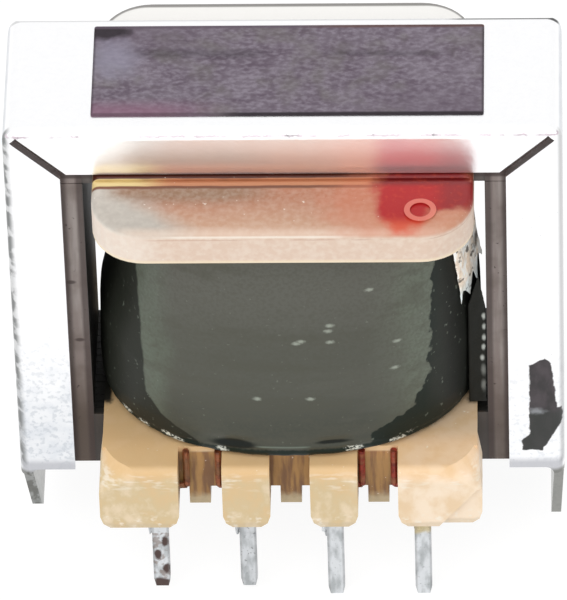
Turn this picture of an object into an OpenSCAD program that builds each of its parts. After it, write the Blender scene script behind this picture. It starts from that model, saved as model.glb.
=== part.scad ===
// PCB transformer: EI core in a folded steel channel frame, taped coil on a pin bobbin.
// Origin: centre of the pin pattern in the plane of the circuit board. Front is -Y, up is +Z.

/* [Core] */
// Width of the core
core_w = 30; // [27:0.5:34]
// Width of an outer leg and height of a yoke
leg_w = 3.75; // [3:0.05:4.2]
// Height of the two winding windows
window_h = 18; // [15:0.5:24]
// Thickness of one lamination
lam_t = 0.5; // [0.35:0.05:0.6]
// Oxide and varnish between two laminations
lam_gap = 0.04; // [0.01:0.005:0.06]
// Number of laminations in the stack
lam_count = 16; // [12:1:20]
// Gap left where an E meets its I
butt_gap = 0.05; // [0.02:0.01:0.1]
// Clearance between the core and the circuit board
core_lift = 0.15; // [0.05:0.05:0.4]

/* [Frame] */
// Thickness of the frame's steel sheet
sheet_t = 0.55; // [0.4:0.05:0.7]
// Side clearance between the core and the frame
frame_fit = 0.05; // [0.02:0.01:0.1]
// Height of the lips folded over the core's faces
lip_w = 3.15; // [2.6:0.05:3.4]
// Outer radius of the bends between top and sides
bend_r = 1; // [0.7:0.05:1.2]
// Outer radius of the fold along each lip
lip_bend_r = 0.6; // [0.45:0.05:0.7]
// Width of the open mitre between two lips
mitre_gap = 0.5; // [0.3:0.05:0.8]
// Length of the left tab below the board
tab_left_len = 3.75; // [2:0.05:4.8]
// Length of the right tab below the board
tab_right_len = 4.6; // [2:0.05:5]
// Inward lean of the left tab in degrees
tab_left_lean = 9; // [0:1:14]
// Inward lean of the right tab in degrees
tab_right_lean = 3; // [0:1:14]
// Radius of the fillet between a lip and its tab
tab_fillet = 0.5; // [0.3:0.05:0.8]

/* [Bobbin] */
// Clearance between a flange and an outer leg
flange_fit = 0.6; // [0.35:0.05:0.8]
// Reach of the flanges beyond the core's faces
flange_reach = 5.3; // [4.8:0.05:6.5]
// Thickness of the top flange inside the window
top_flange_t = 1.1; // [0.7:0.05:1.5]
// Thickness of the bottom flange inside the window
bottom_flange_t = 0.55; // [0.4:0.05:1]
// Depth of the rail under the bottom flange
rail_t = 1.15; // [0.8:0.05:1.6]
// Radius of the flange corners in plan
flange_corner_r = 3; // [1.5:0.1:3.4]
// Radius along the rim of a top cheek
rim_r = 0.45; // [0.2:0.05:0.6]
// Wall of the tube round the tongue
tube_wall = 0.8; // [0.6:0.05:1.1]
// Clearance between bobbin and core
bobbin_fit = 0.05; // [0.03:0.01:0.1]
// Extra reach of the back cheek
back_cheek_extra = 0.1; // [0:0.05:0.3]
// Outer radius of the ring mark on the front cheek
mark_r = 0.9; // [0.5:0.05:1.1]
// Distance of the ring mark from the flange's side
mark_inset = 2.95; // [2:0.05:4]
// Distance of the ring mark from the flange's front
mark_setback = 1.75; // [1.4:0.05:2.4]
// Clearance between a cheek and the lip above it
cheek_fit = 0.1; // [0.05:0.05:0.3]
// Thickness of the wedge behind the tongue
wedge_t = 0.25; // [0.15:0.05:0.4]

/* [Posts] */
// Width of an inner post
inner_post_w = 2.7; // [2:0.05:3]
// Front to back depth of a post
post_d = 3.2; // [2.4:0.1:3.8]
// Width of the rounded lower corners of a post
foot_round_w = 0.55; // [0.2:0.05:0.7]
// Height of the rounded lower corners of a post
foot_round_h = 0.85; // [0.3:0.05:1.1]
// Radius along the upper front edge of the posts
post_top_r = 0.5; // [0.2:0.05:0.6]
// How far the right front post stands out beyond the flange
post_swell = 0.27; // [0:0.01:0.35]
// How far the left front post is set off to the left
post_set_off = 0.2; // [0:0.01:0.3]
// Setback of the web between two posts
web_setback = 2; // [1.6:0.05:2.2]
// Thickness of the web between two posts
web_t = 1.1; // [0.8:0.05:1.2]
// Height of the web's lower edge above the board
web_lift = 1.35; // [0.9:0.05:1.8]
// Width of a stub rib
stub_w = 1.2; // [0.8:0.05:1.3]

/* [Pins] */
// Spacing of the pins along a row
pin_pitch = 5; // [4.8:0.02:5.1]
// Distance from a flange's edge to its row of pins
pin_inset = 0.85; // [0.6:0.05:1]
// Width of a pin
pin_w = 0.95; // [0.6:0.05:1.1]
// Thickness of a pin
pin_t = 0.5; // [0.4:0.05:0.6]
// Length of a full pin below the board
pin_len = 6; // [4.5:0.1:8]
// Length cut off the two trimmed pins
pin_trim = 0.7; // [0:0.1:1.5]
// Length of a pin held in its post
pin_embed = 3; // [2:0.1:3.2]
// Clearance round a pin in its slot
pin_fit = 0.02; // [0.01:0.01:0.04]

/* [Winding] */
// Clearance between the taped coil and a leg
coil_fit = 0.35; // [0.25:0.05:0.6]
// Setback of the coil behind the flange's edge
coil_setback = 0.85; // [0.7:0.05:1.5]
// Thickness of the outer tape
tape_t = 0.2; // [0.1:0.05:0.3]
// Radial build of the inner winding
primary_build = 1.2; // [0.8:0.05:1.3]
// Thickness of the tape between the windings
inner_tape_t = 0.2; // [0.1:0.05:0.3]
// End clearance between the coil and a flange
coil_end_gap = 0.06; // [0.03:0.01:0.12]
// Clearance between two layers
layer_gap = 0.03; // [0.02:0.01:0.05]
// Diameter of a lead wire
lead_d = 0.4; // [0.25:0.05:0.45]
// Thickness of the loose film
film_t = 0.1; // [0.05:0.01:0.12]
// Clearance between the loose film and the coil
film_clear = 0.08; // [0.03:0.01:0.12]
// Lower end of the loose film, as a share of the coil's height
film_from = 0.38; // [0.2:0.01:0.5]
// Upper end of the loose film, as a share of the coil's height
film_to = 0.8; // [0.6:0.01:0.9]

/* [Label] */
// Length of the label
label_w = 21.9; // [14:0.1:24]
// Depth of the label
label_d = 7.4; // [5:0.1:7.7]
// Thickness of the label
label_t = 0.08; // [0.05:0.01:0.15]
// Sideways offset of the label
label_x = 0.3; // [-1:0.1:1]
// Backward offset of the label
label_y = 0.2; // [0:0.05:0.5]

/* [Hidden] */
$fn = 48;
eps = 0.01;
yoke_h = leg_w;
tongue_w = 2 * leg_w;
e_h = yoke_h + window_h;
core_h = e_h + butt_gap + yoke_h;
core_top = core_lift + core_h;
lam_pitch = lam_t + lam_gap;
stack_d = lam_count * lam_t + (lam_count - 1) * lam_gap;
window_out = core_w / 2 - leg_w;
window_low = core_lift + yoke_h;
window_top = window_low + window_h;

frame_w = core_w + 2 * frame_fit + 2 * sheet_t;
frame_d = stack_d + 2 * sheet_t;
frame_h = core_top + sheet_t;
lip_in = frame_w / 2 - lip_w;
mitre_start = 0.6;
tab_w = frame_d - 2 * lip_bend_r;

flange_w = 2 * (window_out - flange_fit);
flange_d = stack_d + 2 * flange_reach;
flange_front = flange_d / 2;
core_face = stack_d / 2 + bobbin_fit;
tube_in_w = tongue_w + 2 * bobbin_fit;
tube_in_d = stack_d + 2 * bobbin_fit + 2 * wedge_t;
tube_w = tube_in_w + 2 * tube_wall;
tube_d = tube_in_d + 2 * tube_wall;
tube_corner_r = 0.5;
bottom_flange_low = window_low + bobbin_fit;
coil_floor = bottom_flange_low + bottom_flange_t;
top_flange_high = window_top - bobbin_fit;
coil_ceiling = top_flange_high - top_flange_t;
cheek_top = frame_h - lip_w - cheek_fit;
rail_low = coil_floor - rail_t;

row_y = flange_front - pin_inset;
web_front = flange_front - web_setback;
inner_post_x = pin_pitch / 2;
inner_post_out = inner_post_x + inner_post_w / 2;
outer_post_in = 1.5 * pin_pitch - inner_post_w / 2;
outer_post_w = flange_w / 2 - outer_post_in;
side_notch_x = (inner_post_out + outer_post_in) / 2;
lead_hole = lead_d + 0.16;
lead_z = web_lift + lead_hole / 2 + 0.04;
pin_tip_taper = 0.6;

coil_low = coil_floor + coil_end_gap;
coil_high = coil_ceiling - coil_end_gap;
coil_tall = coil_high - coil_low;
coil_a = window_out - coil_fit;
coil_b = flange_front - coil_setback;
ring_points = 48;
// share of the height, narrowing at the sides, narrowing at the front, exponent of the
// outline, lean to the right
coil_profile = [
    [0, 0.3, 0.25, 2.2, 0],
    [0.015, 0.1, 0.08, 2.25, 0],
    [0.04, 0.02, 0.02, 2.3, 0],
    [0.12, 0, 0, 2.4, 0],
    [0.35, 0.05, 0, 2.45, 0.05],
    [0.42, 0.2, 0.01, 2.45, 0.15],
    [0.58, 0.68, 0.02, 2.5, 0.42],
    [0.78, 1.12, 0.06, 2.5, 0.42],
    [1, 1.42, 0.15, 2.5, 0.42]
];

pin_total = 8;
pins_a_row = 4;

function two_digits(n) = n < 10 ? str("0", n) : str(n);
function e_name(n) = str("e_lamination_", two_digits(n));
function i_name(n) = str("i_lamination_", two_digits(n));
function pin_name(n) = str("pin_", n);
function lead_name(n) = str("lead_wire_", n);

// ---- outlines and helpers ----

// rectangle centred on the origin with round corners
module rounded_rect(w, d, r) {
    square([w - 2 * r, d], center = true);
    square([w, d - 2 * r], center = true);
    for (x = [-1, 1], y = [-1, 1])
        translate([x * (w / 2 - r), y * (d / 2 - r)]) circle(r);
}

// plate centred in plan, rising from z = 0
module rounded_plate(w, d, h, r) {
    linear_extrude(h) rounded_rect(w, d, r);
}

// stands a drawing made in X and Z upright, t deep and centred on y = 0
module upright(t) {
    translate([0, t / 2, 0]) rotate([90, 0, 0]) linear_extrude(t) children();
}

// box centred in plan, rising from z = 0
module plan_box(w, d, h) {
    translate([-w / 2, -d / 2, 0]) cube([w, d, h]);
}

// repeats the front's shapes at the back
module front_and_back() {
    children();
    mirror([0, 1, 0]) children();
}

// repeats the right side's shapes on the left
module both_sides() {
    children();
    mirror([1, 0, 0]) children();
}

// ---- core ----

module e_outline() {
    polygon([
        [-core_w / 2, 0], [core_w / 2, 0], [core_w / 2, e_h], [window_out, e_h],
        [window_out, yoke_h], [tongue_w / 2, yoke_h], [tongue_w / 2, e_h],
        [-tongue_w / 2, e_h], [-tongue_w / 2, yoke_h], [-window_out, yoke_h],
        [-window_out, e_h], [-core_w / 2, e_h]
    ]);
}

module i_outline() {
    translate([-core_w / 2, core_h - yoke_h]) square([core_w, yoke_h]);
}

// sheets lie alternately with their legs up and down, so that the joints overlap
module core_sheet(n) {
    turned = n % 2 == 0;
    translate([0, -stack_d / 2 + (n - 1) * lam_pitch + lam_t / 2, core_lift])
        upright(lam_t)
            translate([0, turned ? core_h : 0]) mirror([0, turned ? 1 : 0]) children();
}

module e_lamination(n) {
    color([0.42, 0.39, 0.38]) core_sheet(n) e_outline();
}

module i_lamination(n) {
    color([0.38, 0.35, 0.34]) core_sheet(n) i_outline();
}

// ---- frame ----

// outer body of the frame with every fold rounded
module frame_body() {
    intersection() {
        upright(frame_d) {
            translate([-frame_w / 2, 0]) square([frame_w, frame_h - bend_r]);
            translate([-frame_w / 2 + bend_r, 0]) square([frame_w - 2 * bend_r, frame_h]);
            for (x = [-1, 1])
                translate([x * (frame_w / 2 - bend_r), frame_h - bend_r]) circle(bend_r);
        }
        rounded_plate(frame_w, frame_d, frame_h, lip_bend_r);
        rotate([0, 0, 90]) upright(frame_w) {
            translate([-frame_d / 2, 0]) square([frame_d, frame_h - lip_bend_r]);
            translate([-frame_d / 2 + lip_bend_r, 0]) square([frame_d - 2 * lip_bend_r, frame_h]);
            for (y = [-1, 1])
                translate([y * (frame_d / 2 - lip_bend_r), frame_h - lip_bend_r])
                    circle(lip_bend_r);
        }
    }
}

// slot left open at a corner where the top lip meets the side lip
module mitre_cut() {
    long = 2 * lip_w;
    translate([frame_w / 2 - mitre_start, 0, frame_h - mitre_start])
        rotate([0, 45, 0])
            translate([-mitre_gap / 2, stack_d / 2 - 0.5, -long])
                cube([mitre_gap, sheet_t + 1, long]);
}

// tab that goes on from a side wall, leaning inwards, with its lower corners cut back
module tab(len, lean) {
    cut = 0.4;
    root = sheet_t;
    outer_x = frame_w / 2;
    inner_x = outer_x - sheet_t;
    shift = len * tan(lean);
    intersection() {
        upright(tab_w) polygon([
            [inner_x, root], [outer_x, root], [outer_x, 0],
            [outer_x - shift, -len], [inner_x - shift, -len], [inner_x, 0]
        ]);
        rotate([0, 0, 90]) upright(2 * frame_w) polygon([
            [-tab_w / 2, root], [-tab_w / 2, cut - len], [cut - tab_w / 2, -len],
            [tab_w / 2 - cut, -len], [tab_w / 2, cut - len], [tab_w / 2, root]
        ]);
    }
}

// skirt under the fold at a lower corner, where the lip's edge runs down into the tab
module tab_gusset() {
    fillet_x = frame_w / 2 - lip_bend_r - tab_fillet;
    intersection() {
        difference() {
            translate([0, 0, -tab_fillet])
                rounded_plate(frame_w, frame_d, tab_fillet + sheet_t, lip_bend_r);
            translate([0, 0, -tab_fillet - 1])
                plan_box(core_w + 2 * frame_fit, stack_d, tab_fillet + sheet_t + 2);
            translate([fillet_x, 0, -tab_fillet]) rotate([90, 0, 0])
                cylinder(h = 2 * frame_d, r = tab_fillet, center = true);
        }
        translate([fillet_x, -frame_d / 2 - 1, -tab_fillet])
            cube([2 * lip_bend_r + tab_fillet, 1 + 2 * lip_bend_r, tab_fillet + sheet_t]);
    }
}

module frame_shroud() {
    opening_h = frame_h - lip_w;
    color([0.86, 0.87, 0.9]) {
        difference() {
            frame_body();
            translate([0, 0, -1])
                plan_box(core_w + 2 * frame_fit, stack_d, core_top + 1);
            translate([0, 0, -1]) plan_box(2 * lip_in, frame_d + 2, opening_h + 1);
            front_and_back() both_sides() mitre_cut();
        }
        tab(tab_right_len, tab_right_lean);
        mirror([1, 0, 0]) tab(tab_left_len, tab_left_lean);
        front_and_back() both_sides() tab_gusset();
    }
}

module top_label() {
    color([0.37, 0.33, 0.38])
        translate([label_x, label_y, frame_h]) rounded_plate(label_w, label_d, label_t, 0.15);
}

// ---- bobbin ----

// disc with a round upper rim, used at a cheek's corners
module rim_disc(r, h) {
    rotate_extrude($fn = 40) {
        square([r, h - rim_r]);
        square([r - rim_r, h]);
        translate([r - rim_r, h - rim_r]) intersection() {
            circle(rim_r, $fn = 20);
            square(rim_r);
        }
    }
}

// thick part of the top flange that stands outside the core, out to reach
module cheek(reach) {
    h = cheek_top - coil_ceiling;
    ledge = 0.8;
    groove = 0.3;
    translate([0, 0, coil_ceiling]) difference() {
        intersection() {
            hull()
                for (x = [-1, 1], y = [-1, 1])
                    translate([
                        x * (flange_w / 2 - flange_corner_r),
                        y * (reach - flange_corner_r), 0
                    ])
                        rim_disc(flange_corner_r, h);
            translate([-flange_w, -flange_d, -1])
                cube([2 * flange_w, flange_d - core_face, h + 2]);
        }
        translate([-flange_w, -core_face - ledge - groove, h - 0.15])
            cube([2 * flange_w, groove, 1]);
    }
}

// ring moulded on the front cheek
module ring_mark() {
    translate([flange_w / 2 - mark_inset, mark_setback - flange_front, cheek_top - eps])
        difference() {
            cylinder(h = 0.12, r = mark_r);
            translate([0, 0, -1]) cylinder(h = 2, r = 0.64 * mark_r);
        }
}

// foot of a post, rounded at its two lower corners
module foot(w, h) {
    a = w / 2;
    corner = [[a - foot_round_w, 0], [a - 0.3 * foot_round_w, 0.35 * foot_round_h], [a, foot_round_h]];
    upright(post_d) polygon(concat(
        corner, [[a, h], [-a, h]], [for (k = [2:-1:0]) [-corner[k][0], corner[k][1]]]
    ));
}

module inner_post(x) {
    translate([x, -flange_front + post_d / 2, 0]) foot(inner_post_w, coil_floor);
}

// outer post from x = near to x = far, grown out of the flange's round corner
module outer_post(near, far) {
    neck = rail_low - 0.6;
    x = (near + far) / 2;
    y = -flange_front + post_d / 2;
    slice = 0.05;
    translate([x, y, 0]) foot(far - near, neck);
    hull() {
        translate([x, y, neck - slice])
            plan_box(far - near, post_d, slice);
        translate([0, 0, coil_floor - slice]) intersection() {
            rounded_plate(flange_w, flange_d, slice, flange_corner_r);
            translate([near, y - post_d / 2, 0]) cube([flange_w, post_d, slice]);
        }
    }
}

// side view of all that may stand below the coil, rounded along its upper front edge
module rail_outline() {
    translate([-flange_front, -1]) square([flange_front, coil_floor + 1 - post_top_r]);
    translate([post_top_r - flange_front, -1]) square([flange_front - post_top_r, coil_floor + 1]);
    translate([post_top_r - flange_front, coil_floor - post_top_r]) circle(post_top_r);
}

// slot that holds a pin, with the hole that brings its wire in from the notch
module pin_pocket(x, side) {
    translate([x, -row_y, -eps])
        plan_box(pin_w + 2 * pin_fit, pin_t + 2 * pin_fit, pin_embed + eps);
    reach = 2;
    translate([x + (side > 0 ? -0.3 : 0.3 - reach), -row_y, lead_z - lead_hole / 2])
        cube([reach, row_y - web_front - 0.01, lead_hole]);
}

// rail with its posts, web and stub ribs, along the front edge; its right end stands out by
// swell, and its left end is set off by off
module front_rail(swell, off) {
    difference() {
        intersection() {
            rotate([0, 0, 90]) upright(3 * flange_w) rail_outline();
            rail_body(swell, off);
        }
        for (n = [1:pins_a_row]) pin_pocket(pin_x(n), pin_side(n));
    }
}

module rail_body(swell, off) {
    edge = flange_w / 2;
    middle = (outer_post_in + edge) / 2;
    translate([-edge, -web_front, rail_low])
        cube([flange_w, web_front - core_face, rail_t]);
    translate([-middle, -web_front, web_lift])
        cube([2 * middle, web_t, rail_low - web_lift + eps]);
    for (x = [-side_notch_x - off, 0, side_notch_x])
        translate([x - stub_w / 2, -web_front, 0])
            cube([stub_w, web_front - core_face - 0.2, rail_low + eps]);
    for (x = [-1, 1]) inner_post(x * inner_post_x);
    outer_post(outer_post_in, edge + swell);
    mirror([1, 0, 0]) outer_post(outer_post_in + off, edge + off);
}

// corner of the right front post, set back behind a slanting step
module toe_cut() {
    setback = 0.3;
    w = 2.2;
    h = 2.9;
    translate([flange_w / 2 + eps, -flange_front + setback, 0])
        rotate([90, 0, 0]) linear_extrude(1)
            polygon([[-w, -1], [-w, 0], [0, h], [1, h], [1, -1]]);
}

module bobbin() {
    color([0.93, 0.85, 0.74]) difference() {
        union() {
            // tube and the two flanges inside the windows
            translate([0, 0, bottom_flange_low])
                rounded_plate(tube_w, tube_d, top_flange_high - bottom_flange_low, tube_corner_r);
            translate([0, 0, bottom_flange_low])
                plan_box(flange_w, 2 * core_face + 2 * eps, bottom_flange_t);
            translate([0, 0, coil_ceiling])
                plan_box(flange_w, 2 * core_face + 2 * eps, top_flange_t);
            cheek(flange_front);
            mirror([0, 1, 0]) cheek(flange_front + back_cheek_extra);
            ring_mark();
            difference() {
                front_rail(post_swell, post_set_off);
                toe_cut();
            }
            mirror([0, 1, 0]) front_rail(0, 0);
        }
        translate([0, 0, bottom_flange_low - 1])
            plan_box(tube_in_w, tube_in_d, top_flange_high - bottom_flange_low + 2);
    }
}

// strip that wedges the tongue in the tube
module core_wedge() {
    color([0.55, 0.45, 0.3])
        translate([0, stack_d / 2 + bobbin_fit / 2 + wedge_t / 2, window_low])
            plan_box(tongue_w, wedge_t, window_h);
}

// ---- pins ----

// pins 1 to 4 stand along the front from the left, 5 to 8 along the back from the right
function pin_x(n) =
    let (k = (n - 1) % pins_a_row)
    (n <= pins_a_row ? 1 : -1) * (k - (pins_a_row - 1) / 2) * pin_pitch;
function pin_y(n) = n <= pins_a_row ? -row_y : row_y;
// the side on which a pin's wire comes in, in the view of its own row
function pin_side(n) = (n - 1) % 2 == 0 ? 1 : -1;
function pin_below(n) = n <= 2 ? pin_len - pin_trim : pin_len;

module pin(n) {
    below = pin_below(n);
    tip = pin_w / 2 - 0.12;
    color([0.78, 0.8, 0.84])
        translate([pin_x(n), pin_y(n), 0])
            upright(pin_t) polygon([
                [-tip, -below], [tip, -below], [pin_w / 2, -below + pin_tip_taper],
                [pin_w / 2, pin_embed - pin_fit], [-pin_w / 2, pin_embed - pin_fit],
                [-pin_w / 2, -below + pin_tip_taper]
            ]);
}

// ---- winding ----

// the profile's value of column k at share s of the height
function coil_value(share, k) = lookup(share, [for (row = coil_profile) [row[0], row[k]]]);

// one ring of the coil's outline, lying inset inside the outer surface
function coil_ring(row, inset) =
    let (
        a = coil_a - row[1] - inset,
        b = coil_b - row[2] - inset,
        power = 2 / row[3]
    )
    [for (i = [0:ring_points - 1])
        let (t = 360 * i / ring_points)
        [
            row[4] + a * sign(cos(t)) * pow(abs(cos(t)), power),
            b * sign(sin(t)) * pow(abs(sin(t)), power)
        ]];

// skin through a list of rings of three-dimensional points, closed at both ends
module skin(rings) {
    count = len(rings[0]);
    last = len(rings) - 1;
    points = [for (ring = rings) each ring];
    sides = [for (k = [0:last - 1], i = [0:count - 1])
        let (a = k * count + i, b = k * count + (i + 1) % count)
        each [[a, b + count, b], [a, a + count, b + count]]];
    floor_face = [for (i = [0:count - 1]) i];
    roof_face = [for (i = [count - 1:-1:0]) last * count + i];
    polyhedron(points, concat([floor_face], sides, [roof_face]));
}

// solid of the coil, inset inside its outer surface and shorter by trim at both ends
module coil_solid(inset, trim) {
    skin([for (row = coil_profile)
        let (z = coil_low + trim + row[0] * (coil_tall - 2 * trim))
        [for (p = coil_ring(row, inset)) [p[0], p[1], z]]]);
}

// straight round-cornered block of height h in the middle of the coil, grown outside the tube
module layer_block(grow, h) {
    translate([0, 0, (coil_low + coil_high - h) / 2])
        rounded_plate(tube_w + 2 * grow, tube_d + 2 * grow, h, tube_corner_r + grow);
}

primary_grow = layer_gap + primary_build;
inner_tape_grow = primary_grow + layer_gap + inner_tape_t;

module primary_winding() {
    color([0.72, 0.38, 0.2]) difference() {
        layer_block(primary_grow, coil_tall - 2 * tape_t);
        layer_block(layer_gap, coil_tall + 1);
    }
}

module inner_tape() {
    color([0.85, 0.8, 0.6]) difference() {
        layer_block(inner_tape_grow, coil_tall - tape_t);
        layer_block(primary_grow + layer_gap, coil_tall + 1);
    }
}

module secondary_winding() {
    color([0.75, 0.42, 0.22]) difference() {
        coil_solid(tape_t + layer_gap, tape_t);
        layer_block(inner_tape_grow + layer_gap, coil_tall + 1);
    }
}

module outer_tape() {
    color([0.22, 0.26, 0.22]) difference() {
        coil_solid(0, 0);
        coil_solid(tape_t, -eps);
    }
}

// loose clear film that stands beside the coil's right front corner
module film_tail() {
    low = coil_low + film_from * coil_tall;
    first = ring_points - 4;
    levels = 5;
    slope = 0.16 * coil_tall;
    color([0.9, 0.88, 0.82]) difference() {
        skin([for (k = [0:levels])
            let (
                share = film_from + (film_to - film_from) * k / levels,
                row = [for (k = [0:4]) coil_value(share, k)],
                line = coil_ring(row, -film_clear),
                outer = coil_ring(row, -film_clear - film_t),
                z = coil_low + share * coil_tall
            )
            concat(
                [for (i = [0:3]) [each line[first + i], z]],
                [for (i = [3:-1:0]) [each outer[first + i], z]]
            )]);
        translate([0, -coil_b, low]) rotate([atan(slope / coil_b), 0, 0])
            translate([0, 0, -coil_tall]) cube([2 * coil_a, 2 * coil_b, coil_tall]);
    }
}

// ---- lead wires ----

function bezier(p, t) =
    pow(1 - t, 3) * p[0] + 3 * t * pow(1 - t, 2) * p[1]
    + 3 * t * t * (1 - t) * p[2] + pow(t, 3) * p[3];
function unit(v) = v / norm(v);

// round tube of diameter d along a list of points
module wire(path, d) {
    last = len(path) - 1;
    guide = [1, 0.35, 0.8];
    skin([for (k = [0:last])
        let (
            along = unit(path[min(k + 1, last)] - path[max(k - 1, 0)]),
            u = unit(cross(along, guide)),
            v = cross(u, along)
        )
        [for (i = [0:7]) path[k] + d / 2 * (cos(45 * i) * u + sin(45 * i) * v)]]);
}

// the wire leaves the coil's lower edge, drops down a notch and turns in behind the pin
module lead_wire(n) {
    front = n <= pins_a_row ? n : n - pins_a_row;
    side = pin_side(front);
    post_face = abs(pin_x(front)) > pin_pitch
        ? sign(pin_x(front)) * outer_post_in
        : pin_x(front) + side * inner_post_w / 2;
    x = post_face + side * (lead_d / 2 + 0.04);
    end_x = pin_x(front);
    mid_x = end_x + side * 0.6;
    y = -web_front - lead_d / 2 - 0.04;
    end_y = -row_y + pin_t / 2 + lead_d / 2 + 0.03;
    z = lead_z;
    turn = 0.3;
    bend = [[x, y, z + turn], [x, y, z], [x, y, z], [x - side * turn, y, z]];
    reach = [[x - side * turn, y, z], [mid_x, y, z], [mid_x, end_y, z], [end_x, end_y, z]];
    path = concat(
        [[x, y, coil_floor - 0.1]],
        [for (k = [0:5]) bezier(bend, k / 5)],
        [for (k = [1:6]) bezier(reach, k / 6)]
    );
    red = front > 2;
    color(red ? [0.7, 0.12, 0.08] : [0.6, 0.36, 0.18])
        rotate([0, 0, n <= pins_a_row ? 0 : 180]) wire(path, lead_d);
}

frame_shroud();
bobbin();
top_label();
core_wedge();
primary_winding();
inner_tape();
secondary_winding();
outer_tape();
film_tail();
for (n = [1:pin_total]) {
    pin(n);
    lead_wire(n);
}
for (n = [1:lam_count]) {
    e_lamination(n);
    i_lamination(n);
}
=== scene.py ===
import math

import bmesh
import bpy
from mathutils import Matrix, Vector, noise


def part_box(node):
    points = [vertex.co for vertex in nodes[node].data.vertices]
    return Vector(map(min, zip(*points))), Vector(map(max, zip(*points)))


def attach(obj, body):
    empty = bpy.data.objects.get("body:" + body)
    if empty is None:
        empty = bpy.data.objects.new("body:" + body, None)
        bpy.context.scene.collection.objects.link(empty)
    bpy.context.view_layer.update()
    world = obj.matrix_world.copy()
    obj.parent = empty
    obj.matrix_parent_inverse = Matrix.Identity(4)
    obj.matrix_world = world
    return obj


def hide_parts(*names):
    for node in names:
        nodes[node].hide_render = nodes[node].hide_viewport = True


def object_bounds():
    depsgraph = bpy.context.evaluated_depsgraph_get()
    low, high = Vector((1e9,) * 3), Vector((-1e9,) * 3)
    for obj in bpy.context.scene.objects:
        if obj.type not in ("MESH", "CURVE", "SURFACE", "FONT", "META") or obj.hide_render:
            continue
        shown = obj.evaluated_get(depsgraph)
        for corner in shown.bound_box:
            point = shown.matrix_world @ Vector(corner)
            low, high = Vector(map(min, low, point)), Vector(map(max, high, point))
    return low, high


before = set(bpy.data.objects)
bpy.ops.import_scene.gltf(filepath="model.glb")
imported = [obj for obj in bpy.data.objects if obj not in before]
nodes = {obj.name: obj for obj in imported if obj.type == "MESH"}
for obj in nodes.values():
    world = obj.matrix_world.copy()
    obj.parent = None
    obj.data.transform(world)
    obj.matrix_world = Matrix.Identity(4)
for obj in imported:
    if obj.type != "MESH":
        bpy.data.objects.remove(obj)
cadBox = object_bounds()
mm = 0.001
print("frame loaded:", len(nodes), "nodes")


def colour(red, green, blue):
    # screen values from 0 to 255, turned into the linear values a socket takes
    def linear(v):
        v = v / 255
        return v / 12.92 if v <= 0.04045 else ((v + 0.055) / 1.055) ** 2.4
    return (linear(red), linear(green), linear(blue), 1.0)


def millimetres(box):
    return [[c / mm for c in corner] for corner in box]


noLight = colour(0, 0, 0)
whiteLight = colour(255, 255, 255)


class Wire:
    # one value on its way through the nodes, so that sums on it are written as sums
    def __init__(self, owner, socket):
        self.owner = owner
        self.socket = socket

    def maths(self, operation, first, second=0.0):
        return self.owner.add("ShaderNodeMath", {"operation": operation}, {0: first, 1: second})

    def __add__(self, other):
        return self.maths("ADD", self, other)

    def __radd__(self, other):
        return self.maths("ADD", other, self)

    def __sub__(self, other):
        return self.maths("SUBTRACT", self, other)

    def __rsub__(self, other):
        return self.maths("SUBTRACT", other, self)

    def __mul__(self, other):
        return self.maths("MULTIPLY", self, other)

    def __rmul__(self, other):
        return self.maths("MULTIPLY", other, self)

    def __pow__(self, other):
        return self.maths("POWER", self, other)

    def __abs__(self):
        return self.maths("ABSOLUTE", self)


class NodeTree:
    # the nodes of one material, or of the sky
    def __init__(self, tree):
        self.tree = tree
        tree.nodes.clear()

    def add(self, kind, settings=None, inputs=None, output=0):
        node = self.tree.nodes.new(kind)
        for key, value in (settings or {}).items():
            setattr(node, key, value)
        for key, value in (inputs or {}).items():
            self.feed(node.inputs[key], value)
        return Wire(self, node.outputs[output]) if node.outputs else node

    def feed(self, socket, value):
        if isinstance(value, Wire):
            self.tree.links.new(value.socket, socket)
        else:
            socket.default_value = value

    def larger(self, value, *others):
        for other in others:
            value = self.add("ShaderNodeMath", {"operation": "MAXIMUM"}, {0: value, 1: other})
        return value

    def smaller(self, value, *others):
        for other in others:
            value = self.add("ShaderNodeMath", {"operation": "MINIMUM"}, {0: value, 1: other})
        return value

    def rays(self):
        # 1 on rays that leave the camera, come off a gloss or go through glass
        return [self.add("ShaderNodeLightPath", output=ray)
                for ray in ("Is Camera Ray", "Is Glossy Ray", "Is Transmission Ray")]


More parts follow.
